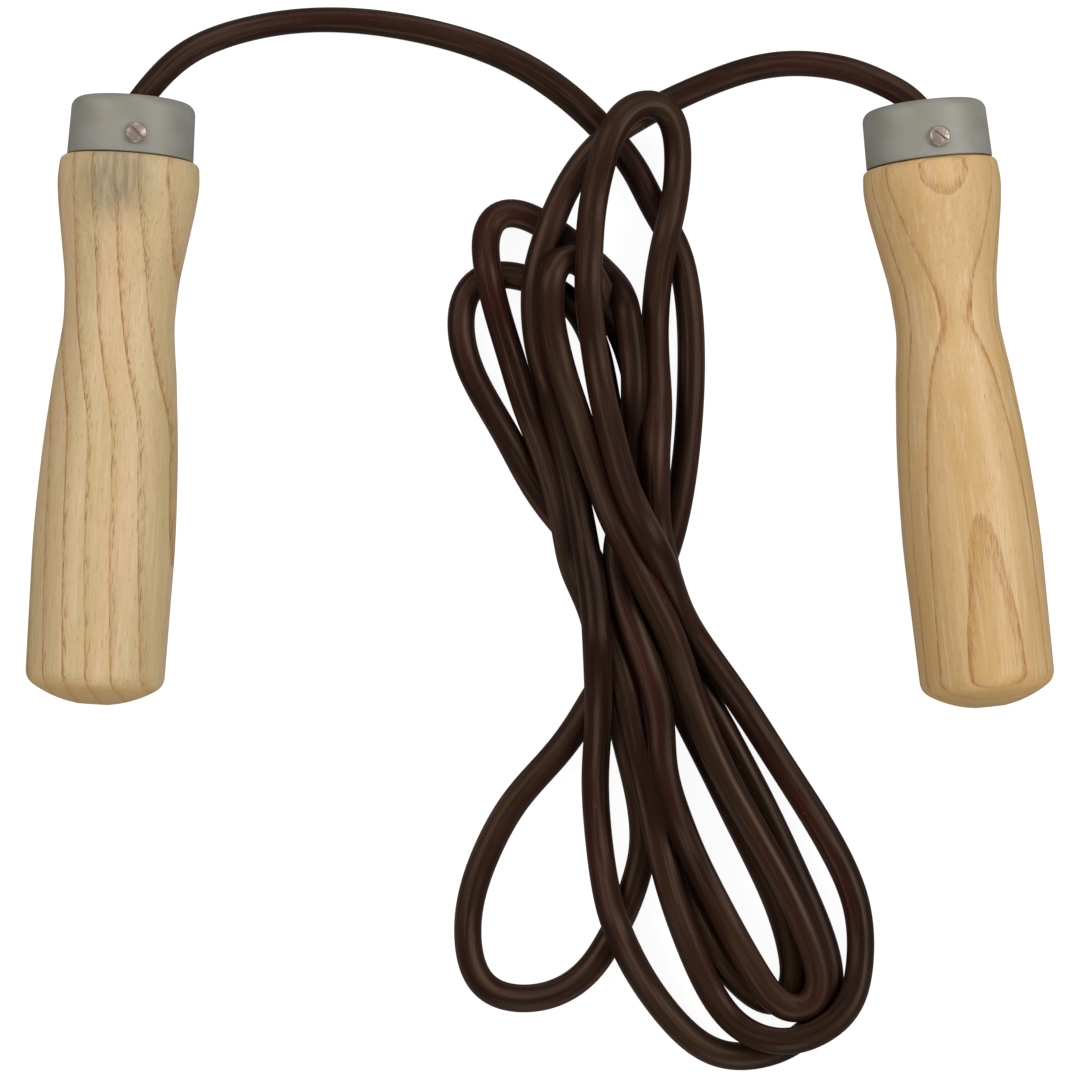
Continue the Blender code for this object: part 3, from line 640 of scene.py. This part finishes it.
class Surface:
    """A material's node tree, with short ways to add nodes to it."""

    def __init__(self, name, roughness, metallic=0.0):
        self.material = bpy.data.materials.new(name)
        self.material.use_nodes = True
        self.tree = self.material.node_tree
        self.shader = self.tree.nodes["Principled BSDF"]
        self.shader.inputs["Roughness"].default_value = roughness
        self.shader.inputs["Metallic"].default_value = metallic

    def put(self, socket, value):
        """Links the socket to another's output, or sets its value."""
        if isinstance(value, bpy.types.NodeSocket):
            self.tree.links.new(value, socket)
        else:
            socket.default_value = value

    def set(self, **inputs):
        for name, value in inputs.items():
            self.put(self.shader.inputs[name.replace("_", " ")], value)

    def attribute(self, name, output="Vector"):
        node = self.tree.nodes.new("ShaderNodeAttribute")
        node.attribute_name = name
        return node.outputs[output]

    def object_place(self):
        return self.tree.nodes.new("ShaderNodeTexCoord").outputs["Object"]

    def vector(self, operation, *values, output="Vector"):
        node = self.tree.nodes.new("ShaderNodeVectorMath")
        node.operation = operation
        for socket, value in zip(node.inputs, values):
            self.put(socket, value)
        return node.outputs[output]

    def math(self, operation, *values):
        node = self.tree.nodes.new("ShaderNodeMath")
        node.operation = operation
        for socket, value in zip(node.inputs, values):
            self.put(socket, value)
        return node.outputs["Value"]

    def axes(self, vector):
        node = self.tree.nodes.new("ShaderNodeSeparateXYZ")
        self.put(node.inputs[0], vector)
        return node.outputs

    def noise(self, vector, per_mm, detail=2.0, output="Fac"):
        """Noise that repeats about so many times to a millimetre along each axis."""
        node = self.tree.nodes.new("ShaderNodeTexNoise")
        node.inputs["Scale"].default_value = 1.0
        node.inputs["Detail"].default_value = detail
        scale = tuple(1000 * value for value in per_mm)
        self.put(node.inputs["Vector"], self.vector("MULTIPLY", vector, scale))
        return node.outputs[output]

    def step(self, value, low, high, most=1.0):
        """0 below low, most above high and smooth between; low may be the higher of the two."""
        node = self.tree.nodes.new("ShaderNodeMapRange")
        node.interpolation_type = "SMOOTHSTEP"
        levels = (0.0, most) if low < high else (most, 0.0)
        for socket, setting in zip(node.inputs, (value, min(low, high), max(low, high), *levels)):
            self.put(socket, setting)
        return node.outputs["Result"]

    def mix(self, share, first, second):
        """The first colour where share is 0, and the second where it is 1."""
        node = self.tree.nodes.new("ShaderNodeMix")
        node.data_type = "RGBA"
        self.put(node.inputs["Factor"], share)
        # The node's colour sockets come after its number and vector ones, under the same names.
        for socket, value in zip((node.inputs[6], node.inputs[7]), (first, second)):
            self.put(socket, value if isinstance(value, bpy.types.NodeSocket) else (*value, 1))
        return node.outputs[2]

    def bump(self, height, distance, strength, under=None):
        """A relief, this many metres high where the value is 1, laid over the one under it."""
        node = self.tree.nodes.new("ShaderNodeBump")
        node.inputs["Distance"].default_value = distance
        node.inputs["Strength"].default_value = strength
        self.put(node.inputs["Height"], height)
        if under is not None:
            self.put(node.inputs["Normal"], under)
        return node.outputs["Normal"]


# How the year's rings lie in each handle: where their middle (the pith) is and how far apart they are, how
# far they drift with depth (slope, and shifts as distance, start and end), and how much they sway. Then the
# share of a year that is early wood, how dark its pores are, and the wood's two colours.
WOODS = {
    # The pith is beside the left handle, so that the rings show as straight lines.
    "left": {
        "pith": (-0.075, 0.004), "spacing": 0.0058, "phase": 0.10, "slope": 0.0645,
        "shifts": ((0.0046, 0.050, 0.088),), "sway": 1.0, "early": 0.42, "pores": 0.66,
        "light": (0.620, 0.440, 0.245), "other": (0.565, 0.425, 0.210),
    },
    # It is far under the right one, so that they show as long arches.
    "right": {
        "pith": (-0.006, 0.070), "spacing": 0.0045, "phase": 0.633, "slope": 0.0,
        "shifts": ((-0.0011, 0.027, 0.013), (-0.0016, 0.105, 0.150)), "sway": 0.35, "early": 0.22,
        "pores": 0.42, "light": (0.610, 0.405, 0.185), "other": (0.560, 0.355, 0.140),
    },
}
RING = (0.410, 0.180, 0.032)
PORE = (0.215, 0.112, 0.038)
PALE = (0.680, 0.525, 0.345)
# The butt's end-grain colour, made lighter than the wood's own as painted light on the shaded butt dome.
END_GRAIN_WITH_PAINTED_LIGHT = (0.660, 0.390, 0.125)
END_START, END_FULL = BUTT_DEPTH - 0.0005, BUTT_DEPTH + 0.0007
# Where in a year its dark line is full, starts to fade and is gone.
LINE_FULL, LINE_FADES, LINE_GONE = 0.012, 0.03, 0.13
# Each sway of the rings: how often it comes, across and along, and how wide it is.
SWAYS = (((0.030, 0.030, 0.012), 0.0022), ((0.25, 0.25, 0.05), 0.0009))


def growth_rings(ash, rest, look):
    """How far each point is through its year, from 0 to 1, and how deep it is below the cap's top."""
    depth = ash.math("MULTIPLY", ash.axes(rest)["Z"], -1.0)
    place = rest
    for per_mm, widest in SWAYS:
        noise = ash.noise(rest, per_mm, output="Color")
        noise = ash.vector("SUBTRACT", noise, (0.5, 0.5, 0.5))
        sway = widest * look["sway"]
        place = ash.vector("ADD", place, ash.vector("MULTIPLY", noise, (sway, sway, 0)))
    from_pith = ash.vector("MULTIPLY", ash.vector("SUBTRACT", place, (*look["pith"], 0)), (1, 1, 0))
    radius = ash.vector("LENGTH", from_pith, output="Value")
    drift = ash.math("MULTIPLY", depth, look["slope"])
    for distance, start, end in look["shifts"]:
        shift = ash.math("MULTIPLY", ash.step(depth, start, end), distance)
        drift = ash.math("ADD", drift, shift)
    turns = ash.math("DIVIDE", ash.math("SUBTRACT", radius, drift), look["spacing"])
    return ash.math("FRACT", ash.math("ADD", turns, look["phase"])), depth


def wood(side):
    """Ash: growth rings round an axis beside the handle, with open pores along it."""
    look = WOODS[side]
    ash = Surface(f"ash_{side}", 0.55)
    rest = ash.attribute("rest")
    share, depth = growth_rings(ash, rest, look)
    early = ash.step(share, look["early"], LINE_FADES)
    # The dark line where each year starts, weaker in places and broken in others.
    start, end = ash.step(share, 0.0, LINE_FULL), ash.step(share, LINE_GONE, LINE_FADES)
    line = ash.math("MULTIPLY", end, start)
    weak = ash.step(ash.noise(rest, (0.10, 0.10, 0.022), 3.0), 0.36, 0.60)
    broken = ash.step(ash.noise(rest, (1.4, 1.4, 0.22), 3.0), 0.40, 0.54)
    for strength in (broken, weak):
        line = ash.math("MULTIPLY", line, ash.math("MULTIPLY_ADD", strength, 0.60, 0.40))
    pore_noise = ash.noise(rest, (3.4, 3.4, 0.26))
    early_pores = ash.math("MULTIPLY", ash.step(pore_noise, 0.53, 0.62), early)
    pores = ash.math("MAXIMUM", early_pores, ash.step(pore_noise, 0.62, 0.70, 0.55))
    fibres = ash.noise(rest, (4.5, 4.5, 0.10), 3.0)
    broad = ash.noise(rest, (0.16, 0.16, 0.012))
    pale = ash.noise(rest, (0.9, 0.9, 0.030))

    colour = ash.mix(ash.step(broad, 0.38, 0.62), look["light"], look["other"])
    for strength, paint in (
        (ash.step(pale, 0.52, 0.70, 0.45), PALE),
        (ash.math("MULTIPLY", early, 0.20), RING),
        (ash.step(fibres, 0.35, 0.68, 0.20), RING),
        (ash.math("MULTIPLY", line, 0.90), RING),
        (ash.math("MULTIPLY", pores, look["pores"]), PORE),
        # The butt's end grain, lightened as painted light.
        (ash.step(depth, END_START, END_FULL, 0.55), END_GRAIN_WITH_PAINTED_LIGHT),
    ):
        colour = ash.mix(strength, colour, paint)
    if side == "left":
        colour = ash.mix(smudge(ash, rest), colour, SMUDGE)
    roughness = ash.math("MULTIPLY_ADD", pores, 0.25, 0.50)
    relief = ash.math("SUBTRACT", ash.math("MULTIPLY", fibres, 0.25), ash.math("ADD", pores, line))
    ash.set(Base_Color=colour, Roughness=roughness, Normal=ash.bump(relief, 0.00012, 0.5))
    return ash.material


SMUDGE = (0.175, 0.155, 0.100)
SMUDGE_CENTRE = (-0.0015, -0.0165, -0.0215)
SMUDGE_SPREAD = (0.0135, 0.0130, 0.0140)


def smudge(ash, rest):
    """The grey hand mark below the left cap, streaked along the grain."""
    away = ash.vector("DIVIDE", ash.vector("SUBTRACT", rest, SMUDGE_CENTRE), SMUDGE_SPREAD)
    inside = ash.step(ash.vector("LENGTH", away, output="Value"), 1.05, 0.20)
    streaks = ash.step(ash.noise(rest, (0.9, 0.9, 0.12), 4.0), 0.35, 0.68)
    return ash.math("MULTIPLY", inside, ash.math("MULTIPLY_ADD", streaks, 0.32, 0.48))


CAP_DARK, CAP_PALE = (0.262, 0.250, 0.205), (0.305, 0.300, 0.272)
CAP_SCUFF = (0.20, 0.19, 0.15)
SCREW_NICKEL, SCREW_WORN = (0.37, 0.305, 0.265), (0.27, 0.205, 0.165)
BEARING_BARE, BEARING_OILED = (0.56, 0.57, 0.58), (0.40, 0.39, 0.36)
CRIMP_BARE, CRIMP_OILED = (0.45, 0.43, 0.39), (0.34, 0.31, 0.27)


def cap_metal():
    """Dull turned metal, with faint lathe lines and handling marks."""
    metal = Surface("cap_metal", 0.60, 0.25)
    rest = metal.attribute("rest")
    patches = metal.noise(rest, (0.07, 0.07, 0.10), 3.0)
    lathe = metal.noise(rest, (0.03, 0.03, 9.0), 3.0)
    scuffs = metal.step(metal.noise(rest, (1.6, 1.6, 1.1), 4.0), 0.60, 0.72)
    colour = metal.mix(metal.step(patches, 0.35, 0.65), CAP_DARK, CAP_PALE)
    colour = metal.mix(metal.math("MULTIPLY", scuffs, 0.25), colour, CAP_SCUFF)
    roughness = metal.math("MULTIPLY_ADD", patches, 0.16, 0.52)
    relief = metal.math("ADD", metal.math("MULTIPLY", lathe, 0.7), metal.math("MULTIPLY", scuffs, -0.4))
    metal.set(Base_Color=colour, Roughness=roughness, Normal=metal.bump(relief, 0.00003, 0.5))
    metal.set(Specular_IOR_Level=0.35)
    return metal.material


def screw_steel():
    """Nickel plate over brass, worn warm."""
    steel = Surface("screw_steel", 0.48, 0.7)
    rest = steel.attribute("rest")
    wear = steel.step(steel.noise(rest, (0.9, 0.9, 0.9), 3.0), 0.40, 0.65)
    colour = steel.mix(wear, SCREW_NICKEL, SCREW_WORN)
    roughness = steel.math("MULTIPLY_ADD", wear, 0.16, 0.40)
    relief = steel.noise(rest, (4.0, 4.0, 4.0), 3.0)
    steel.set(Base_Color=colour, Roughness=roughness, Normal=steel.bump(relief, 0.00003, 0.5))
    return steel.material


def plain_steel(name, bare, oiled, roughness):
    """The hidden steel pieces, faintly brushed and oiled."""
    steel = Surface(name, roughness, 1.0)
    place = steel.object_place()
    oil = steel.step(steel.noise(place, (0.5, 0.5, 0.5), 3.0), 0.35, 0.70)
    grind = steel.noise(place, (6.0, 1.0, 6.0))
    uneven = steel.math("MULTIPLY_ADD", oil, 0.15, roughness)
    steel.set(Base_Color=steel.mix(oil, bare, oiled), Roughness=uneven)
    steel.set(Normal=steel.bump(grind, 0.00002, 0.5))
    return steel.material


HIDE_DARK, HIDE_BROWN = (0.0125, 0.0050, 0.0034), (0.0280, 0.0106, 0.0068)
HIDE_RED, HIDE_OLIVE = (0.037, 0.0095, 0.0068), (0.030, 0.0172, 0.0064)
# The pale streak colour is partly the leather's own paler streaks and partly a painted highlight along the
# strands.
PALE_STREAK_AND_HIGHLIGHT, STREAK_DARK = (0.074, 0.044, 0.032), (0.010, 0.0045, 0.0034)
# The ridge colour is a painted highlight, laid in patches along the rope's ridges; the scuff colour is real
# scuffing.
RIDGE_HIGHLIGHT_PAINT, HIDE_SCUFF = (0.110, 0.066, 0.044), (0.16, 0.10, 0.07)
WAX_TINT = (1.0, 0.74, 0.56, 1)


def leather():
    """Waxed dark brown leather: long streaks, the pale ones partly painted highlight, painted highlight on
    the ridges in patches, fine pores, creased bends and a few scuffs.
    """
    hide = Surface("leather", 0.50)
    rest = hide.attribute("rest")
    crease = hide.attribute("crease", "Fac")
    tone = hide.noise(rest, (0.10, 0.10, 0.010), 3.0)
    tint = hide.noise(rest, (0.16, 0.16, 0.014))
    streaks = hide.noise(rest, (1.0, 1.0, 0.035), 4.0)
    pores = hide.noise(rest, (6.5, 6.5, 5.0), 3.0)
    wrinkles = hide.noise(rest, (0.40, 0.40, 0.9), 4.0)
    # Patches along the rope where its ridges get a painted highlight.
    ridge_highlight_patches = hide.step(hide.noise(rest, (0.13, 0.13, 0.022), 3.0), 0.44, 0.62, 0.55)
    scuffs = hide.step(hide.noise(rest, (1.3, 1.3, 0.5), 4.0), 0.70, 0.80)

    colour = hide.mix(hide.step(tone, 0.35, 0.65), HIDE_DARK, HIDE_BROWN)
    for strength, paint in (
        (hide.step(tint, 0.52, 0.70, 0.75), HIDE_RED),
        (hide.step(tint, 0.46, 0.32, 0.55), HIDE_OLIVE),
        # Paler streaks, lightened to serve as a painted highlight.
        (hide.step(streaks, 0.54, 0.72, 0.50), PALE_STREAK_AND_HIGHLIGHT),
        (hide.step(streaks, 0.46, 0.30, 0.55), STREAK_DARK),
        (hide.math("MULTIPLY", ridge_highlight_patches, hide.attribute("ridge", "Fac")), RIDGE_HIGHLIGHT_PAINT),
        (hide.math("MULTIPLY", scuffs, 0.50), HIDE_SCUFF),
    ):
        colour = hide.mix(strength, colour, paint)
    roughness = hide.math("MULTIPLY_ADD", streaks, 0.30, 0.22)
    roughness = hide.math("MULTIPLY_ADD", scuffs, 0.2, roughness)

    fine = hide.bump(pores, 0.00006, 0.5)
    folds = hide.math("MULTIPLY", wrinkles, hide.math("ADD", hide.step(crease, 0.35, 1.0), 0.06))
    folded = hide.bump(folds, 0.0004, 0.7, under=fine)
    normal = hide.bump(streaks, 0.00022, 0.6, under=folded)
    hide.set(Base_Color=colour, Roughness=roughness, Normal=normal)
    hide.set(Specular_IOR_Level=0.14, Specular_Tint=WAX_TINT)
    return hide.material


# --- Stage ---

FLOOR_REACH = 3.0
FLOOR_GREY = (0.2, 0.2, 0.2, 1)
FLOOR_GLOW = 0.93
WHITE = (1, 1, 1, 1)
WORLD_LIGHT = 0.25
# Each lamp's name, place, size, power and colour.
LAMPS = (
    ("key", (0.88, 0.22, 0.80), 0.55, 8.6, (0.98, 0.99, 1.0)),
    ("fill", (-0.80, 0.30, 0.85), 0.60, 6.0, (1.0, 0.97, 0.92)),
    ("back", (0.05, 1.05, 0.60), 0.60, 3.0, (1.0, 1.0, 1.0)),
    ("front", (0.0, -1.15, 0.60), 0.60, 4.6, (1.0, 1.0, 1.0)),
)


def area_light(name, place, size, power, colour):
    data = bpy.data.lights.new(name, "AREA")
    data.shape = "SQUARE"
    data.size = size
    data.energy = power
    data.color = colour
    light = bpy.data.objects.new(name, data)
    light.location = place
    light.rotation_euler = (AIM - light.location).to_track_quat("-Z", "Y").to_euler()
    bpy.context.scene.collection.objects.link(light)


def make_floor():
    paper = Surface("floor_paper", 0.9)
    paper.set(Base_Color=FLOOR_GREY, Emission_Color=WHITE, Emission_Strength=FLOOR_GLOW)
    corners = [(FLOOR_REACH * x, FLOOR_REACH * y, 0) for x, y in ((-1, -1), (1, -1), (1, 1), (-1, 1))]
    mesh = mesh_from("floor", corners, [(0, 1, 2, 3)])
    mesh.materials.append(paper.material)
    floor = bpy.data.objects.new("floor", mesh)
    bpy.context.scene.collection.objects.link(floor)
    floor.visible_glossy = False  # its glare would whiten the dark leather,
    floor.visible_diffuse = False  # and its glow would light the strands from below


def make_stage():
    make_floor()
    world = bpy.data.worlds.new("studio")
    bpy.context.scene.world = world
    world.use_nodes = True
    background = world.node_tree.nodes["Background"]
    background.inputs["Color"].default_value = WHITE
    background.inputs["Strength"].default_value = WORLD_LIGHT
    for lamp in LAMPS:
        area_light(*lamp)
    bpy.context.scene.view_settings.view_transform = "Standard"


# --- The object ---

def make_handle(side, cap_surface, screw_surface):
    """The grip, the cap and the two screws of one handle, in place of the CAD's."""
    handle_piece(f"grip_wood_{side}", grip_mesh(side), side, wood(side), f"grip_{side}", 40)
    handle_piece(f"cap_shell_{side}", cap_mesh(side), side, cap_surface, f"cap_{side}")
    seat = turned_points(f"cap_{side}", side)[1].max()
    for place, turn in screw_turns(side).items():
        mesh, node = screw_mesh(side, turn, seat), f"screw_{place}_{side}"
        name = f"screw_{place}_head_{side}"
        screw = handle_piece(name, mesh, side, screw_surface, node)
        soften_edges(screw)


def dress_nodes(surface, *beginnings):
    """Gives the CAD nodes whose names begin so, which keep their shape, a better material."""
    for name, node in NODES.items():
        if name.startswith(beginnings):
            for material_slot in node.material_slots:
                material_slot.material = surface


def main():
    make_camera()
    make_rope(leather())
    cap_surface, screw_surface = cap_metal(), screw_steel()
    for side in SIDES:
        make_handle(side, cap_surface, screw_surface)
    dress_nodes(plain_steel("bearing_steel", BEARING_BARE, BEARING_OILED, 0.20), "bearing_")
    dress_nodes(plain_steel("crimp_steel", CRIMP_BARE, CRIMP_OILED, 0.36), "stop_washer_", "rope_crimp_")
    make_stage()


main()
